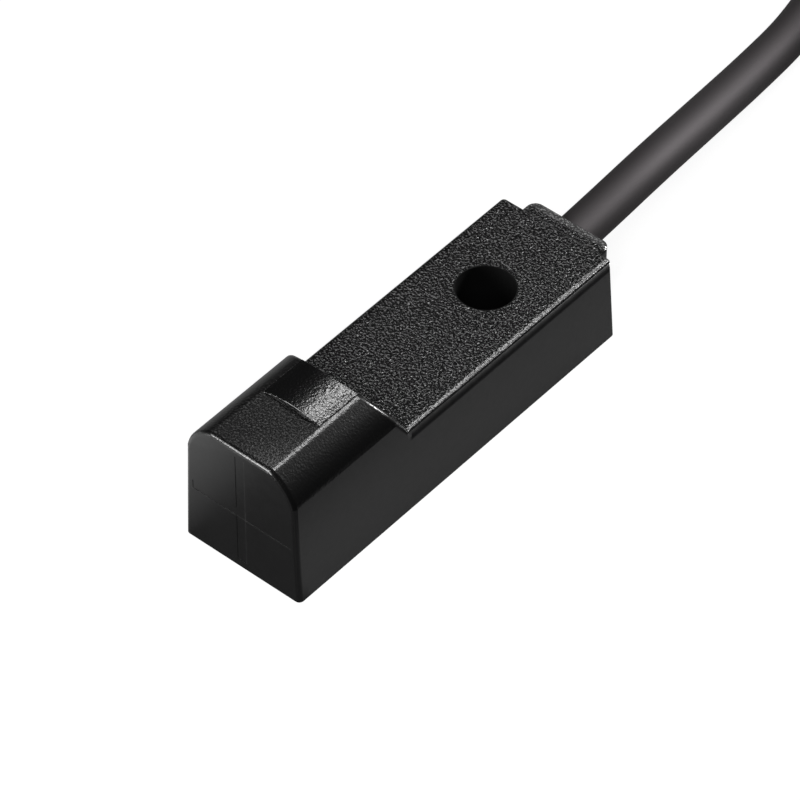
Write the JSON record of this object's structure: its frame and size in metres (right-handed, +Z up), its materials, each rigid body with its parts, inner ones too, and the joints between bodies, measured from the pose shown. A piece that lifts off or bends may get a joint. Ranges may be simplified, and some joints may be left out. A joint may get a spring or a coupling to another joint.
{
  "type": "proximity switch",
  "caption": "Flat inductive proximity switch: black potted housing, target mark on the sensing face, indicator window on top, fixing hole through the rear and a fixed cable.",
  "frame": {"origin": "centre of the underside's rectangle, on the surface the switch rests on, without the cable", "axes": "+X across, +Y from the sensing face to the cable end, +Z up out of the marked top"},
  "size_m": [0.0375, 0.0892, 0.0092],
  "materials": {
    "housing_plastic": "spark-eroded top, satin sides",
    "window_plastic": "smooth dark translucent",
    "resin": "cast surface",
    "ferrite": "sintered",
    "spool_plastic": "moulded",
    "copper_wire": "enamelled wire",
    "board": "lacquered glass laminate",
    "lamp": "clear resin",
    "chip_plastic": "moulded",
    "capacitor": "fired",
    "solder": "bright",
    "ring_metal": "pressed",
    "jacket": "matt extruded",
    "wire_brown": "extruded",
    "wire_black": "extruded",
    "wire_blue": "extruded",
    "strand_copper": "stranded",
    "tie_plastic": "moulded"
  },
  "bodies": {
    "root": {"housing": "housing_plastic", "indicator_window": "window_plastic", "ferrite_core": "ferrite", "coil_spool": "spool_plastic", "coil_winding": "copper_wire", "coil_leads": "copper_wire", "circuit_board": "board", "indicator_lamp": "lamp", "oscillator_chip": "chip_plastic", "chip_capacitors": "capacitor", "chip_resistors": "chip_plastic", "reverse_diode": "chip_plastic", "surge_diode": "chip_plastic", "output_transistor": "chip_plastic", "crimp_ring": "ring_metal", "wire_brown": "wire_brown", "wire_black": "wire_black", "wire_blue": "wire_blue", "bared_strands": "strand_copper", "solder_joints": "solder", "cable": "jacket", "cable_coil": "jacket", "coil_ties": "tie_plastic", "free_wire_brown": "wire_brown", "free_wire_black": "wire_black", "free_wire_blue": "wire_blue", "tinned_tips": "solder", "resin": "resin"}
  },
  "joints": []
}
